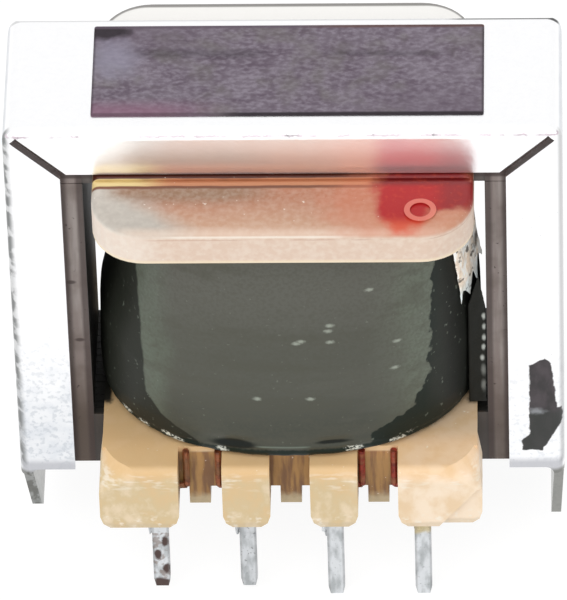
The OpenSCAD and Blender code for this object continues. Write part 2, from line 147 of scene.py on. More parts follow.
class Finish(NodeTree):
    # a material with one principled shader; x, y and z are millimetres in the part's own frame
    def __init__(self, name, **constants):
        self.material = bpy.data.materials.new(name)
        self.material.use_nodes = True
        super().__init__(self.material.node_tree)
        self.surface = self.add("ShaderNodeBsdfPrincipled")
        self.shader = self.surface.socket.node
        self.end = self.add("ShaderNodeOutputMaterial", None, {0: self.surface})
        self.set(**constants)
        metres = self.add("ShaderNodeTexCoord", output="Object")
        self.place = self.add("ShaderNodeVectorMath", {"operation": "SCALE"},
                              {0: metres, "Scale": 1 / mm})
        self.x, self.y, self.z = [self.add("ShaderNodeSeparateXYZ", None, {0: self.place}, axis)
                                  for axis in range(3)]

    def set(self, **values):
        for key, value in values.items():
            self.feed(self.shader.inputs[key.replace("_", " ")], value)

    def speckle(self, size, detail=2.0, stretch=(1, 1, 1), shift=(0, 0, 0)):
        # noise from 0 to 1 whose lumps are about size millimetres across
        spread = self.add("ShaderNodeVectorMath", {"operation": "MULTIPLY_ADD"},
                          {0: self.place, 1: stretch, 2: shift})
        return self.add("ShaderNodeTexNoise", None,
                        {"Vector": spread, "Scale": 1 / size, "Detail": detail})

    def ramp(self, value, low, high):
        # 0 at low, 1 at high, soft between, and the other way round when high is the smaller
        return self.add("ShaderNodeMapRange", {"interpolation_type": "SMOOTHSTEP"},
                        {"Value": value, "From Min": low, "From Max": high})

    def mix(self, share, first, second):
        # the first colour at a share of 0, the second at 1
        return self.add("ShaderNodeMix", {"data_type": "RGBA"},
                        {0: share, 6: first, 7: second}, output=2)

    def within(self, value, low, high, soft):
        # 1 between low and high, fading over soft on either side
        return self.ramp(value, low - soft, low + soft) * self.ramp(value, high + soft, high - soft)

    def spots(self, centres, halves, edge, wobble=0.0, lumps=0.8):
        # 1 inside any of the ellipsoids round the centres, 0 outside, with an edge made uneven
        scaled = self.add("ShaderNodeVectorMath", {"operation": "DIVIDE"},
                          {0: self.place, 1: halves})
        away = []
        for centre in centres:
            middle = [c / h for c, h in zip(centre, halves)]
            away.append(self.add("ShaderNodeVectorMath", {"operation": "DISTANCE"},
                                 {0: scaled, 1: middle}, output="Value"))
        nearest = self.smaller(*away)
        if wobble:
            nearest = nearest + (self.speckle(lumps, 3) - 0.5) * wobble
        return self.ramp(nearest, 1 + edge, 1 - edge)

    def spot(self, centre, halves, edge, wobble=0.0, lumps=0.8):
        return self.spots((centre,), halves, edge, wobble, lumps)

    def relief(self, height, depth):
        # height from 0 to 1 raised by depth millimetres
        bump = self.add("ShaderNodeBump", None,
                        {"Height": height, "Strength": 1.0, "Distance": depth * mm})
        self.set(Normal=bump)


def dress(finish, *names):
    for name in names:
        piece = nodes[name]
        piece.data.materials.clear()
        piece.data.materials.append(finish.material)


def named(start):
    return sorted(n for n in nodes if n.startswith(start))


def addObject(name, mesh, finish):
    data = bpy.data.meshes.new(name)
    mesh.to_mesh(data)
    mesh.free()
    data.materials.append(finish.material)
    item = bpy.data.objects.new(name, data)
    bpy.context.scene.collection.objects.link(item)
    return item


def addPiece(name, mesh, finish):
    piece = addObject(name, mesh, finish)
    piece.data.shade_smooth()
    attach(piece, "root")
    return piece


def addWall(piece, thick, offset=-1):
    # a sheet's thickness in millimetres, inwards at -1 and outwards at 1
    wall = piece.modifiers.new("wall", "SOLIDIFY")
    wall.thickness = thick * mm
    wall.offset = offset


# sheet steel frame: tarnished tin, painted shade on walls, folds and edges, a pen blot on the right
# leg
frameLook = {
    "tin": colour(254, 254, 255),
    "cloud": colour(232, 235, 240),
    "fleck": colour(197, 202, 208),
    "blush": colour(236, 214, 214),
    "edge": colour(186, 187, 192),
    # side and wall: painted shade on the folds and the outer walls
    "side": colour(120, 122, 122),
    "wall": colour(188, 192, 198),
    "backEdgeShadow": colour(72, 72, 72),
    "fold": colour(214, 200, 208),
    "foldDark": colour(120, 114, 118),
    "tab": colour(112, 112, 105),
    "tabDark": colour(74, 72, 66),
    "ink": colour(43, 39, 41),
    "inkPale": colour(68, 61, 65),
    "inkGreen": colour(38, 42, 38),
    "skin": 0.35,  # this much of the sheet counts as its front face
    "lipTall": 2.8,
    "smudge": (14.05, -4.85, 4.5),
}


def makeFrameSteel(look):
    tin = Finish("frameSteel", Metallic=1.0, Roughness=0.3, Emission_Strength=1.0)
    x, y, z = tin.x, tin.y, tin.z
    side, back, top = millimetres(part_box("frame_shroud"))[1]
    front = look["skin"] - back
    fine = tin.speckle(0.28, 3)
    rough = tin.speckle(1.2, 4)
    # tarnish grows downwards, most on the left leg
    low = tin.ramp(z, 14, 2) * (0.45 + 0.55 * tin.ramp(x, 4, -4))
    shade = tin.mix(tin.ramp(rough, 0.4, 0.68) * (0.05 + 0.75 * low), look["tin"], look["cloud"])
    shade = tin.mix(tin.ramp(fine, 0.5, 0.64) * (0.03 + 0.62 * low), shade, look["fleck"])
    shade = tin.mix(low * low * 0.42, shade, look["fleck"])
    # faint blush on the left leg's inner half, small dots on both, and a greyer lower hem
    leg = tin.ramp(z, 24, 22) * tin.ramp(y, front, front - 0.2)
    inner = tin.within(x, -12.2, -11.0, 0.25) * leg * tin.ramp(rough, 0.38, 0.6)
    shade = tin.mix(inner * 0.7, shade, look["blush"])
    dots = tin.ramp(tin.speckle(0.16, 2, shift=(4, 1, 2)), 0.7, 0.76) * leg
    shade = tin.mix(dots * 0.6, shade, look["edge"])
    hem = tin.ramp(z, 0.95, 0.35) * tin.ramp(abs(y), -front, 0.2 - front)
    shade = tin.mix(hem * 0.85, shade, look["edge"])
    # painted shade: outer walls greyed, and the rounded folds down their front edges darkened
    wallShade = tin.ramp(abs(x), side - 0.25, side - 0.1) * tin.ramp(y, -4.3, -4.0)
    shade = tin.mix(wallShade * (0.5 + 0.3 * rough), shade, look["wall"])
    left = tin.ramp(x, 0.55 - side, 0.1 - side)
    left = left * (0.45 + 0.55 * tin.ramp(tin.speckle(0.9, 3), 0.4, 0.55))
    right = tin.ramp(x, side - 0.35, side - 0.1) * 0.5
    folds = tin.larger(left, right) * tin.ramp(z, -0.2, 0.6) * tin.ramp(y, -4.0, -4.3)
    shade = tin.mix(folds, shade, look["side"])
    # painted shadow along the top's back edge, and broken painted shade along the crease over the
    # lip
    backEdgeShadow = tin.within(y, back - 0.45, back - 0.23, 0.05) * tin.ramp(z, top - 0.55, top - 0.3)
    backEdgeShadow = backEdgeShadow * (0.3 + 0.7 * tin.ramp(x, 9, 10))
    shade = tin.mix(backEdgeShadow, shade, look["backEdgeShadow"])
    inFront = tin.ramp(y, front + 0.1, front - 0.1)
    creaseShade = tin.within(z + (fine - 0.5) * 0.25, top - 0.41, top - 0.28, 0.05) * inFront
    broken = tin.speckle(1.0, 4, (1, 0.2, 0.2), (5, 0, 0))
    shade = tin.mix(creaseShade * tin.ramp(broken, 0.38, 0.55), shade, look["fold"])
    shade = tin.mix(creaseShade * tin.ramp(broken, 0.6, 0.68) * 0.8, shade, look["foldDark"])
    # tabs below the folds, the left one with dark patches
    tab = tin.ramp(z, 0.05, -0.35)
    shade = tin.mix(tab * (0.76 + 0.07 * tin.ramp(x, 0, 5)), shade, look["tab"])
    patches = tin.ramp(tin.speckle(0.4, 4), 0.42, 0.58) * tin.ramp(x, 8, -8)
    patches = patches * (0.15 + 0.4 * tin.ramp(y, -3.9, -4.2))
    shade = tin.mix(tab * patches, shade, look["tabDark"])
    blot, ink = penBlot(tin, look, inFront)
    # extra light that the lip catches from above, most at its left end
    lipTop = top - 0.25
    lipLow = lipTop - look["lipTall"]
    lip = tin.ramp(y, front - 0.2, front - 0.3) * tin.ramp(abs(x), 12.3, 12.0)
    lip = lip * tin.within(z, lipLow, lipTop, 0.15)
    catch = 0.2 * tin.ramp(x, -7.5, -9.5) + 0.13 * tin.ramp(z, lipLow + 0.8, lipLow + 2.2)
    catch = lip * (0.08 + catch)
    tin.set(
        Base_Color=tin.mix(blot, shade, ink),
        Metallic=1 - 0.95 * tin.larger(blot, backEdgeShadow),
        Roughness=0.26 + 0.1 * rough + 0.2 * blot,
        Emission_Color=tin.mix(catch, noLight, whiteLight),
    )
    tin.relief(tin.speckle(0.35, 4) + blot * 0.6, 0.01)
    return tin


def penBlot(tin, look, inFront):
    # an upper and a lower block with ragged edges, each inside a few straight lines
    x, z = tin.x, tin.z
    wobble = (tin.speckle(0.45, 3) - 0.5) * 0.3
    upper = tin.smaller(x - 13.62, 15.64 - z * 0.09 - x, 8.12 + (x - 13.63) * 0.6 - z,
                        23.19 - x - z, z - 4.5)
    lower = tin.smaller(x - 13.6 + tin.ramp(z, 2.7, 2.1) * 0.42, 13.65 + z * 0.5 - x,
                        z - 1.4, 4.75 - z, 15.52 - x)
    blot = tin.ramp(tin.larger(upper, lower) + wobble, -0.04, 0.06) * inFront
    cloud = tin.speckle(0.6, 4, (1, 1, 0.5))
    ink = tin.mix(tin.ramp(cloud, 0.35, 0.7), look["ink"], look["inkPale"])
    ink = tin.mix(tin.ramp(z, 4.8, 4.2) * 0.75, ink, look["inkGreen"])
    smudge = tin.spot(look["smudge"], (0.38, 2, 0.2), 0.9, 1.6, 0.25)
    return blot, tin.mix(smudge * 0.4, ink, look["fleck"])


dress(makeFrameSteel(frameLook), "frame_shroud")
print("frame dressed")


# laminated core: brown oxide, darker low down, with painted shade at the rims and in the windows
coreLook = {
    "oxide": colour(136, 125, 121),
    "pale": colour(158, 150, 146),
    # dark serves the pits and stains and the painted shade at the rims; deep is painted shadow
    "brown": colour(92, 80, 72),
    "dark": colour(66, 54, 52),
    "deep": colour(26, 25, 22),
    "stains": ((-12.2, -4.3, 14.3), (-11.85, -4.3, 9.8)),
}


def makeCoreSteel(look):
    steel = Finish("coreSteel", Metallic=0.5, Roughness=0.55)
    x, y, z = steel.x, steel.y, steel.z
    streaks = steel.speckle(0.45, 4, (1, 1, 0.1))
    shade = steel.mix(steel.ramp(streaks, 0.4, 0.72), look["oxide"], look["pale"])
    shade = steel.mix(steel.ramp(steel.speckle(1.6, 3), 0.45, 0.7) * 0.35, shade, look["brown"])
    low = steel.ramp(z + steel.speckle(1.5, 3) * 2, 10.5, 4) * (1 - 0.35 * steel.ramp(x, 0, 5))
    shade = steel.mix(low, shade, look["brown"])
    # painted shade on the rims of the legs, and painted shadow on the sheared edges inside the
    # windows
    rim = steel.larger(steel.within(abs(x), 11.2, 11.62, 0.12),
                       steel.within(abs(x), 12.2, 12.7, 0.15))
    shade = steel.mix(rim * 0.75, shade, look["dark"])
    windowShadow = steel.ramp(abs(x), 11.3, 11.26) * steel.ramp(abs(x), 4, 5)
    shade = steel.mix(windowShadow * steel.ramp(y, -4.6, -4.1), shade, look["deep"])
    top = steel.ramp(z, 22.2, 22.4) * steel.ramp(abs(x), 10, 10.6)
    shade = steel.mix(top * 0.8, shade, look["dark"])
    pits = steel.ramp(steel.speckle(0.3, 2), 0.69, 0.75)
    shade = steel.mix(pits * 0.75, shade, look["dark"])
    stains = steel.spots(look["stains"], (0.28, 2, 0.14), 0.4, 0.5)
    shade = steel.mix(stains * 0.8, shade, look["dark"])
    steel.set(Base_Color=shade, Metallic=0.5 - 0.5 * windowShadow, Roughness=0.45 + 0.25 * streaks)
    steel.relief(steel.speckle(0.2, 3) + streaks, 0.01)
    return steel


dress(makeCoreSteel(coreLook), *named("e_lamination"), *named("i_lamination"))
print("core dressed")


# bobbin: cream nylon, with the coil's colour showing through, painted shade under the lip and coil,
# and red paint round the ring mark
bobbinLook = {
    "cream": colour(222, 197, 178),
    "rim": colour(242, 224, 194),
    "grey": colour(186, 178, 168),
    "white": colour(246, 244, 236),
    "rear": colour(253, 252, 249),
    "outline": colour(96, 92, 88),
    "amber": colour(173, 115, 86),
    "peach": colour(199, 157, 130),
    "olive": colour(142, 107, 81),
    "groove": colour(112, 66, 44),
    "recessShadow": colour(74, 32, 20),
    "ridgeHighlight": colour(188, 126, 90),
    "gold": colour(216, 192, 134),
    "edgeShade": colour(196, 158, 138),
    "red": colour(172, 26, 28),
    "redDeep": colour(118, 26, 27),
    "redLobe": colour(210, 84, 56),
    "halo": colour(204, 118, 88),
    "ring": colour(226, 128, 112),
    "honey": colour(224, 188, 138),
    "straw": colour(213, 192, 152),
    "pink": colour(246, 226, 201),
    "flake": colour(246, 240, 228),
    "hem": colour(196, 178, 150),
    "web": colour(172, 130, 74),
    "webDark": colour(118, 80, 48),
    "stub": colour(194, 180, 150),
    "shadow": colour(34, 33, 28),
    "through": colour(88, 60, 36),
    "corner": 3.0,  # radius of the back cheek's corners
    "cheekLow": 20.5,
    "cheekTop": 22.65,
    "railTop": 7.8,
    "postFoot": 4.1,  # the web behind the posts ends here
    # red paint and its pale rim: centres, then half sizes
    "haloSpots": ((7.6, -6.3, 22.6), (6.4, -7.4, 22.6)),
    "haloHalves": (4.1, 2.8, 3),
    "paintSpots": ((7.95, -5.7, 22.8), (8.6, -6.3, 22.8)),
    "paintHalves": (2.9, 1.5, 3),
    "lobeSpot": (6.75, -7.35, 22.8),
    "lobeHalves": (1.55, 2.05, 3),
}


def makeNylon(look):
    nylon = Finish("bobbinNylon", Roughness=0.42, Specular_IOR_Level=0.35, Emission_Strength=1.0)
    x, y, z = nylon.x, nylon.y, nylon.z
    soft = nylon.speckle(2.2, 3)
    fine = nylon.speckle(0.36, 4)
    shade = nylon.mix(nylon.ramp(fine, 0.35, 0.7) * 0.25, look["cream"], look["flake"])
    # both cheeks, the front one, and its flat top
    cheek = nylon.ramp(z, look["cheekLow"] - 0.1, look["cheekLow"] + 0.1)
    front = nylon.ramp(y, -4, -4.4) * cheek
    level = nylon.ramp(z, look["cheekTop"] - 0.15, look["cheekTop"] + 0.15) * front
    shade = nylon.mix(level, shade, cheekTintAndShade(nylon, look, soft, fine))
    # painted highlight whitening the cheek's left end
    pale = cheek * nylon.ramp(x + (soft - 0.5) * 1.6, -6.2, -8.4) * nylon.ramp(z, 22.9, 22.6)
    shade = nylon.mix(pale * 0.3, shade, look["white"])
    shade = dressBackCheek(nylon, look, shade, cheek)
    shade = dressGroove(nylon, look, shade, level)
    shade = dressCheekFront(nylon, look, shade, front, soft, fine)
    shade = dressPaint(nylon, look, shade, level, front, fine)
    shade = dressPosts(nylon, look, shade, soft, fine)
    glints = nylon.ramp(nylon.speckle(0.3, 2, shift=(7, 3, 1)), 0.72, 0.78)
    shade = nylon.mix(glints * 0.55, shade, look["flake"])
    # light that comes through the thin rail under the coil
    lit = nylon.within(z, 3.6, 7.6, 0.4) * nylon.ramp(y, -6.0, -7.5)
    lit = lit * (0.3 + 0.7 * nylon.ramp(x, 0, 7))
    nylon.set(
        Base_Color=shade,
        Roughness=0.36 + 0.2 * fine,
        Emission_Color=nylon.mix(lit, noLight, look["through"]),
    )
    nylon.relief(fine * 0.4 + soft, 0.03)
    return nylon


def cheekTintAndShade(nylon, look, soft, fine):
    # the coil's colour shows through the front cheek's flat top, but not at the left corner;
    # painted shade makes it darker towards the lip at the back
    x, y = nylon.x, nylon.y
    drift = (soft - 0.5) * 1.6
    warm = nylon.ramp(x + 1.03 * y + 15.2 + drift, -1.2, 1.8)
    depth = nylon.ramp(y + drift * 0.4, -6.2, -9.5)
    glow = nylon.mix(depth, look["amber"], look["peach"])
    dull = nylon.ramp(y, -7.8, -6.2) * nylon.ramp(x, 0.5, -4)
    glow = nylon.mix(dull * 0.95, glow, look["olive"])
    stain = nylon.mix(warm, look["grey"], glow)
    dull = nylon.ramp(y, -7.4, -6.2) * nylon.ramp(x, -10.3, -8.6) * dull
    stain = nylon.mix(dull, stain, look["olive"])
    stain = nylon.mix(nylon.ramp(y, -8.9, -9.5) * 0.6, stain, look["cream"])
    stain = nylon.mix(nylon.ramp(fine, 0.3, 0.75) * 0.14, stain, look["flake"])
    dots = nylon.ramp(nylon.speckle(0.26, 2, shift=(1, 6, 2)), 0.7, 0.76)
    return nylon.mix(dots * nylon.within(y, -8.2, -6.6, 0.3) * 0.6, stain, look["flake"])


def dressBackCheek(nylon, look, shade, cheek):
    # white, with a thin grey outline that follows its rounded corners
    rear = nylon.ramp(nylon.y, 4.2, 4.6) * cheek
    shade = nylon.mix(rear * 0.95, shade, look["rear"])
    low, high = millimetres(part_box("bobbin"))
    middle, halfWide, radius = (low[0] + high[0]) / 2, (high[0] - low[0]) / 2, look["corner"]
    overX = nylon.larger(abs(nylon.x - middle) - halfWide + radius, 0.0)
    overY = nylon.larger(nylon.y - high[1] + radius, 0.0)
    reach = (overX * overX + overY * overY) ** 0.5
    outline = nylon.ramp(reach, radius - 0.62, radius - 0.46) * nylon.ramp(nylon.z, 22.6, 22.85)
    return nylon.mix(outline * rear * 0.8, shade, look["outline"])


def dressGroove(nylon, look, shade, level):
    # painted highlight on the ridge, painted shade in the groove, and painted shadow in the recess
    # under the lip
    sway = (nylon.speckle(1.6, 2, (1, 0.2, 0.2)) - 0.5) * 0.12
    back = nylon.y + sway
    ridgeHighlight = nylon.mix(nylon.ramp(nylon.x, -6, -8.5), look["ridgeHighlight"], look["gold"])
    shade = nylon.mix(level * nylon.ramp(back, -6.0, -5.85), shade, look["groove"])
    shade = nylon.mix(level * nylon.ramp(back, -5.76, -5.64), shade, ridgeHighlight)
    return nylon.mix(level * nylon.ramp(back, -5.16, -5.04), shade, look["recessShadow"])


def dressCheekFront(nylon, look, shade, front, soft, fine):
    # pale lower rim, and round the front a line of painted shade below the top edge with a painted
    # highlight along the edge
    x, z = nylon.x, nylon.z
    rim = nylon.ramp(z, look["cheekLow"] + 0.55, look["cheekLow"] + 0.3) * front
    shade = nylon.mix(rim * 0.8, shade, look["rim"])
    edgeShade = nylon.within(z + (fine - 0.5) * 0.1, 22.46, 22.52, 0.05) * nylon.ramp(x, -8, -6.5)
    edgeShade = edgeShade * nylon.ramp(soft, 0.36, 0.5) * front
    shade = nylon.mix(edgeShade * 0.75, shade, look["edgeShade"])
    edgeHighlight = front * nylon.within(z, 22.62, 22.74, 0.05) * nylon.within(x, -6.5, 3.5, 1.0)
    return nylon.mix(edgeHighlight * 0.6, shade, look["flake"])


def dressPaint(nylon, look, shade, level, front, fine):
    # red paint round the ring mark, with a pale rim, and the ring itself
    x, y = nylon.x, nylon.y
    halo = nylon.spots(look["haloSpots"], look["haloHalves"], 0.4, 0.5)
    shade = nylon.mix(halo * level * 0.5, shade, look["halo"])
    body = nylon.spots(look["paintSpots"], look["paintHalves"], 0.2, 0.5)
    lobe = nylon.spot(look["lobeSpot"], look["lobeHalves"], 0.26, 0.5)
    paint = nylon.mix(nylon.ramp(y, -8.1, -9.2), look["red"], look["redLobe"])
    paint = nylon.mix(nylon.ramp(y, -6.0, -5.4), paint, look["redDeep"])
    paint = nylon.mix(nylon.ramp(x, 8.2, 9.4) * 0.6, paint, look["redDeep"])
    paint = nylon.mix(nylon.ramp(fine, 0.5, 0.7) * 0.2, paint, look["redLobe"])
    shade = nylon.mix(nylon.larger(body, lobe) * level, shade, paint)
    highest = millimetres(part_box("bobbin"))[1][2]
    ring = nylon.ramp(nylon.z, highest - 0.04, highest) * front
    return nylon.mix(ring * 0.75, shade, look["ring"])


def dressPosts(nylon, look, shade, soft, fine):
    x, y, z = nylon.x, nylon.y, nylon.z
    rail = nylon.ramp(z, look["railTop"] + 0.2, look["railTop"] - 0.2)
    right = nylon.ramp(x + (soft - 0.5) * 4, 2.5, 7.5)
    post = nylon.mix(right, look["straw"], look["pink"])
    blotch = nylon.speckle(1.0, 4, (1, 1, 0.7), (3, 0, 0))
    post = nylon.mix(nylon.ramp(blotch, 0.4, 0.7) * 0.55, post, look["honey"])
    post = nylon.mix(nylon.ramp(blotch, 0.5, 0.3) * 0.5, post, look["pink"])
    # amber where the coil sits on the rail, darkened towards the coil as painted shade, and pale
    # arcs of painted highlight round the upper corners
    upper = nylon.ramp(z + (soft - 0.5) * 0.6, 3.5, 4.3)
    post = nylon.mix(upper * (0.85 - 0.35 * right), post, look["honey"])
    post = nylon.mix(nylon.ramp(y, -8.2, -6.5) * upper * 0.12, post, look["groove"])
    arcHighlight = nylon.ramp(nylon.speckle(0.55, 3, (0.5, 1, 2.2), (0, 2, 6)), 0.5, 0.68)
    post = nylon.mix(arcHighlight * nylon.within(z, 3.0, 4.1, 0.4) * 0.5, post, look["flake"])
    flakes = nylon.ramp(nylon.speckle(0.4, 3, (1, 1, 1.6), (1, 1, 9)), 0.54, 0.7)
    post = nylon.mix(flakes * nylon.ramp(z, 1.5, 0.3) * 0.6, post, look["flake"])
    # the lower rims of the posts are a little greyer
    hem = nylon.ramp(z + (blotch - 0.5) * 0.5, 0.42, 0.2) * nylon.ramp(abs(y), 8.0, 8.3)
    post = nylon.mix(hem * 0.4, post, look["hem"])
    shade = nylon.mix(rail, shade, post)
    # web and stub ribs behind the posts: brown as painted shade in the recess, with darker streaks,
    # paler at the stubs' lower ends
    foot = look["postFoot"]
    sunkShade = rail * nylon.ramp(z, foot + 0.1, foot - 0.1) * nylon.ramp(abs(y), 8.4, 8.0)
    sunkShade = sunkShade * nylon.ramp(abs(x), 9.4, 9.2)
    grain = nylon.speckle(0.45, 4, (1, 1, 0.12))
    web = nylon.mix(nylon.ramp(grain, 0.4, 0.62), look["web"], look["webDark"])
    web = nylon.mix(nylon.ramp(z + fine * 0.6, 1.3, 0.6) * 0.8, web, look["stub"])
    shade = nylon.mix(sunkShade * 0.95, shade, web)
    # painted shadow where the coil's sides hang over the rail's ends
    paintedShadow = rail * upper * nylon.ramp(abs(x) + (fine - 0.5) * 0.5, 10.0, 10.35)
    paintedShadow = paintedShadow * nylon.within(y + (fine - 0.5) * 0.6, -4.0, 3.8, 0.3)
    return nylon.mix(paintedShadow, shade, look["shadow"])


dress(makeNylon(bobbinLook), "bobbin")
print("bobbin dressed")


# coil: dark green tape with dust, a painted sheen on its front panel, painted shade on its sides,
# and a crumpled lower margin
coilLook = {
    # litPanel, top and low: the front panel's painted sheen, lighter at the top, darker low down
    "litPanel": colour(84, 85, 77),
    "top": colour(94, 94, 87),
    "low": colour(71, 73, 65),
    "green": colour(98, 107, 94),
    "greenPale": colour(112, 119, 106),
    "weave": colour(80, 80, 70),
    # side colours: painted shade on the coil's sides and back
    "side": colour(40, 42, 36),
    "sideShadeGreen": colour(24, 34, 29),
    "sideShadeRight": colour(29, 31, 27),
    "margin": colour(25, 36, 31),
    "hollowShade": colour(24, 28, 24),
    "line": colour(112, 122, 110),
    "fleck": colour(130, 138, 126),
    "dust": colour(190, 198, 184),
    "glint": colour(226, 230, 220),
    "leftHollow": (-3.1, -8.7, 5.55),
    "rightHollow": (2.5, -8.7, 5.75),
    "dustSpots": (
        (4.76, -8.2, 17.3), (2.5, -8.7, 14.95), (2.4, -8.7, 14.55), (0.85, -8.7, 13.8),
        (0.6, -8.7, 13.65), (6.25, -7.8, 12.95), (2.5, -8.7, 13.7), (6.1, -7.9, 10.9),
        (-1.7, -8.7, 9.35), (1.3, -8.7, 9.3),
    ),
    "glintSpots": (
        (-6.62, -7.4, 5.0), (-6.95, -7.2, 5.15), (-6.3, -7.65, 4.95), (-3.8, -8.4, 5.0),
        (-9.3, -5.15, 5.1), (3.85, -8.3, 5.05), (3.5, -8.3, 5.1), (6.3, -7.4, 5.0),
        (6.75, -6.7, 5.3), (7.1, -6.1, 5.7), (5.9, -7.7, 4.95), (7.6, -5.7, 5.2),
        (-8.3, -6.1, 5.0),
    ),
}
coilShape = {
    "around": 384,  # faces round it and up it
    "tall": 120,
    # share of the height, narrower at the sides, narrower in front, roundness, lean to the right
    "profile": (
        (0, 0.3, 0.25, 2.2, 0), (0.015, 0.1, 0.08, 2.25, 0), (0.04, 0.02, 0.02, 2.3, 0),
        (0.12, 0, 0, 2.4, 0), (0.35, 0.05, 0, 2.45, 0.05), (0.42, 0.2, 0.01, 2.45, 0.15),
        (0.58, 0.68, 0.02, 2.5, 0.42), (0.78, 1.12, 0.06, 2.5, 0.42), (1, 1.42, 0.15, 2.5, 0.42),
    ),
    "tapeThick": 0.16,
    "uneven": 0.035,
    # hollows in front, just over the margin: across, height, half width, depth
    "hollows": ((-3.2, 5.75, 1.35, 0.15), (2.5, 5.8, 1.1, 0.12)),
    "hollowTall": 0.34,
    # the lower margin is a narrower strip, crumpled
    "marginTall": 0.74,
    "marginIn": 0.07,
    "marginSwell": 0.06,
    "marginCrumple": 0.05,
}
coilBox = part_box("outer_tape")
marginTop = coilBox[0][2] / mm + coilShape["marginTall"]


def makeTape(look):
    tape = Finish("coilTape", Roughness=0.5, Specular_IOR_Level=0.15)
    x, y, z = tape.x, tape.y, tape.z
    fine = tape.speckle(0.2, 3)
    cloud = tape.speckle(2.2, 3, (1, 1, 0.6))
    waves = tape.speckle(1.3, 4, (0.16, 1, 1.2))
    litPanel = litPanelMask(tape)
    # painted light and shade: the panel lighter at the top and darker low down
    tone = tape.mix(tape.ramp(z, 12, 18), look["litPanel"], look["top"])
    tone = tape.mix(tape.ramp(z, 10.5, 6.5), tone, look["low"])
    tone = tape.mix(tape.ramp(abs(x + (cloud - 0.5) * 2.5), 6.0, 7.9) * 0.75, tone, look["green"])
    tone = tape.mix(tape.ramp(x, 4.0, 7.5) * 0.4, tone, look["greenPale"])
    tone = tape.mix(tape.ramp(fine, 0.4, 0.65) * 0.4, tone, look["weave"])
    tone = tape.mix(tape.ramp(waves, 0.5, 0.66) * 0.45, tone, look["weave"])
    tone = tape.mix(tape.ramp(waves, 0.46, 0.34) * 0.2, tone, look["top"])
    specks = tape.ramp(tape.speckle(0.24, 2, shift=(2, 0, 5)), 0.7, 0.76)
    tone = tape.mix(specks * 0.1, tone, look["dust"])
    # painted shade on the sides and back
    side = tape.mix(tape.ramp(x + (cloud - 0.5) * 2, 7.5, 9.3), look["sideShadeGreen"], look["side"])
    side = tape.mix(tape.ramp(x, 8.4, 9.4), side, look["sideShadeRight"])
    side = tape.mix(tape.ramp(x, 0, -3), side, look["side"])
    flecks = tape.ramp(tape.speckle(0.33, 2, shift=(9, 4, 0)), 0.66, 0.74)
    side = tape.mix(flecks * 0.45 * tape.ramp(y, 0, -4), side, look["fleck"])
    shade = dressMargin(tape, look, tape.mix(litPanel, side, tone), fine)
    dust = tape.spots(look["dustSpots"], (0.2, 1, 0.11), 0.8, 1.4, 0.15)
    shade = tape.mix(dust * 0.5, shade, look["dust"])
    glints = tape.spots(look["glintSpots"], (0.3, 0.5, 0.2), 0.4, 2.2, 0.16)
    glints = glints * tape.ramp(fine, 0.4, 0.56)
    shade = tape.mix(glints * 0.9, shade, look["glint"])
    tape.set(Base_Color=shade, Roughness=0.5 - 0.12 * litPanel)
    tape.relief(cloud + 0.3 * fine, 0.02)
    return tape


def litPanelMask(tape):
    # smooth front panel with the painted sheen, inside straight lines, with slanting lower corners
    # and a ragged right edge
    x, y, z = tape.x, tape.y, tape.z
    torn = tape.speckle(0.7, 4, (1, 1, 0.8))
    ragged = (torn - 0.5) * (0.25 + 0.75 * tape.ramp(x, 3, 7))
    right = tape.smaller(tape.larger(z - 3.46 - x * 0.55, 4.75 - x) * 0.88,
                         (z + 11.24 - x * 2.6) * 0.36)
    left = tape.smaller(tape.larger(z - 1.66 + x * 0.7, x + 5.15) * 0.82,
                        (z + 4.19 + x * 1.5) * 0.55)
    inside = tape.smaller(7.69 + z * 0.04 - abs(x + 0.1), left, right) + ragged
    return tape.ramp(inside, -0.04, 0.1) * tape.ramp(y, -4.2, -4.8)


def dressMargin(tape, look, shade, fine):
    # lower margin in painted shade, painted shade in the two hollows over it, and a painted
    # highlight line between them
    x, y, z = tape.x, tape.y, tape.z
    margin = tape.ramp(z + (fine - 0.5) * 0.2, marginTop, marginTop - 0.2)
    shade = tape.mix(margin, shade, look["margin"])
    hollows = tape.larger(tape.spot(look["leftHollow"], (1.35, 3, 0.33), 0.3, 0.4),
                          tape.spot(look["rightHollow"], (0.95, 3, 0.15), 0.4, 0.4))
    shade = tape.mix(hollows, shade, look["hollowShade"])
    line = tape.within(x, -1.75, 1.1, 0.3) * tape.within(z, 5.42, 5.54, 0.05)
    return tape.mix(line * tape.ramp(y, -2, -4) * 0.8, shade, look["line"])


def coilRow(profile, share):
    for low, high in zip(profile, profile[1:]):
        if share <= high[0]:
            part = (share - low[0]) / (high[0] - low[0])
            return [a + (b - a) * part for a, b in zip(low[1:], high[1:])]
    return profile[-1][1:]


def coilPoint(share, turn, stand=0.0):
    # a point on the coil's outer surface in millimetres, or stand in front of it
    low, high = coilBox
    side, front, power, lean = coilRow(coilShape["profile"], share)
    wide, deep = high[0] / mm - side + stand, high[1] / mm - front + stand
    c, s = math.cos(turn), math.sin(turn)
    return Vector((lean + wide * math.copysign(abs(c) ** (2 / power), c),
                   deep * math.copysign(abs(s) ** (2 / power), s),
                   (low[2] + share * (high[2] - low[2])) / mm))


def coilPush(shape, point):
    # how far the tape stands out at a point, in millimetres
    x, y, z = point
    push = shape["uneven"] * (noise.noise(Vector((x * 0.5, y * 0.5, z * 0.35))) - 0.4)
    if y < 0:
        for middle, height, reach, depth in shape["hollows"]:
            across = (x - middle) / reach
            up = (z - height - 0.1 * across ** 2) / shape["hollowTall"]
            push -= depth * math.exp(-across ** 2 - up ** 2)
    if z < marginTop:
        up = (z - marginTop) / shape["marginTall"] + 1
        crumple = noise.noise(Vector((x * 1.6, y * 1.6, z * 3.0)))
        push += shape["marginSwell"] * math.sin(math.pi * up) - shape["marginIn"]
        push += shape["marginCrumple"] * crumple
    return push


